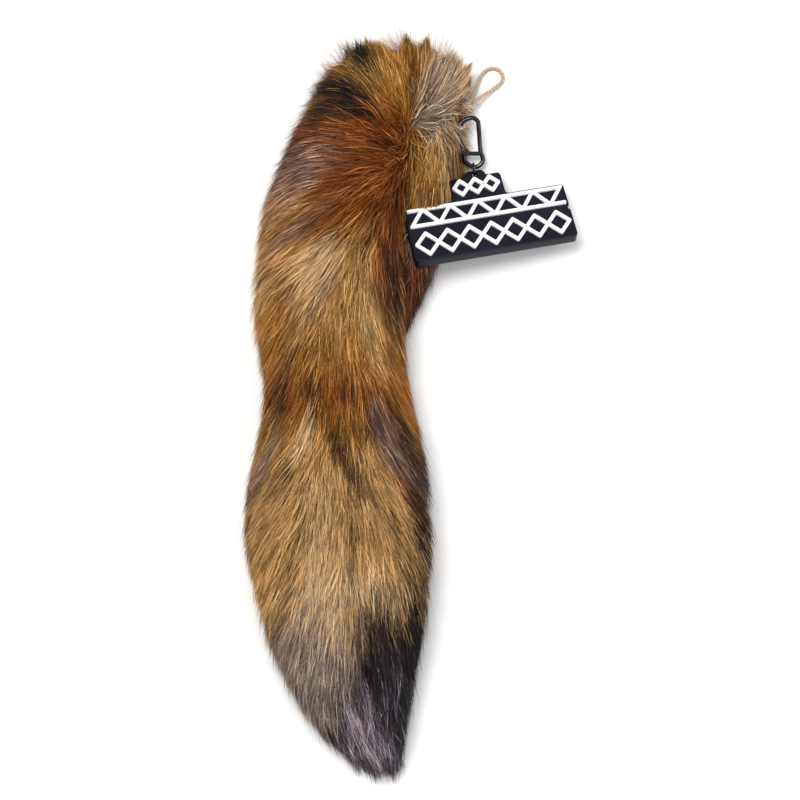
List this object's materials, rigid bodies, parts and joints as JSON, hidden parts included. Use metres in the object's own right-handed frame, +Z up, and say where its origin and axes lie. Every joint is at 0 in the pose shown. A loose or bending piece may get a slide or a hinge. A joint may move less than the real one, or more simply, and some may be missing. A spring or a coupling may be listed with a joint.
{
  "type": "costume animal tail",
  "caption": "Thick bushy fox-brown fur tail with a dark tip, a twine hanging loop at its root, and a black snap clasp carrying a dark rubber charm with white raised ornament.",
  "frame": {"origin": "on the flat underside of the fur, under the middle of the tail as it lies", "axes": "+Z up from the surface it lies on, +Y along the tail towards its root, +X towards the side where the clasp and charm lie"},
  "size_m": [0.1812, 0.408, 0.0541],
  "materials": {
    "fur": "long silky guard hair over dense underfur, rust brown with cream and black zones",
    "twine": "twisted natural jute, slightly hairy",
    "gunmetal": "glossy gunmetal plating",
    "charm_black": "smooth semi-matte moulded rubber",
    "charm_white": "smooth semi-matte moulded rubber"
  },
  "bodies": {
    "tail": {"tail_fur": "fur", "twine_loop": "twine", "twine_knot": "twine", "clasp_frame": "gunmetal", "jump_ring": "gunmetal", "charm_plate": "charm_black", "relief_upper": "charm_white", "relief_middle": "charm_white", "relief_lower": "charm_white"},
    "gate": {"clasp_gate": "gunmetal"}
  },
  "joints": [
    {"name": "gate_hinge", "type": "hinge", "parent": "tail", "child": "gate", "pos_m": [0.06679, 0.1444, 0.00678], "axis": [-0.0202, 0.2411, -0.9703], "range_deg": [0, 28], "stiffness_Nm_per_rad": 0.02}
  ]
}
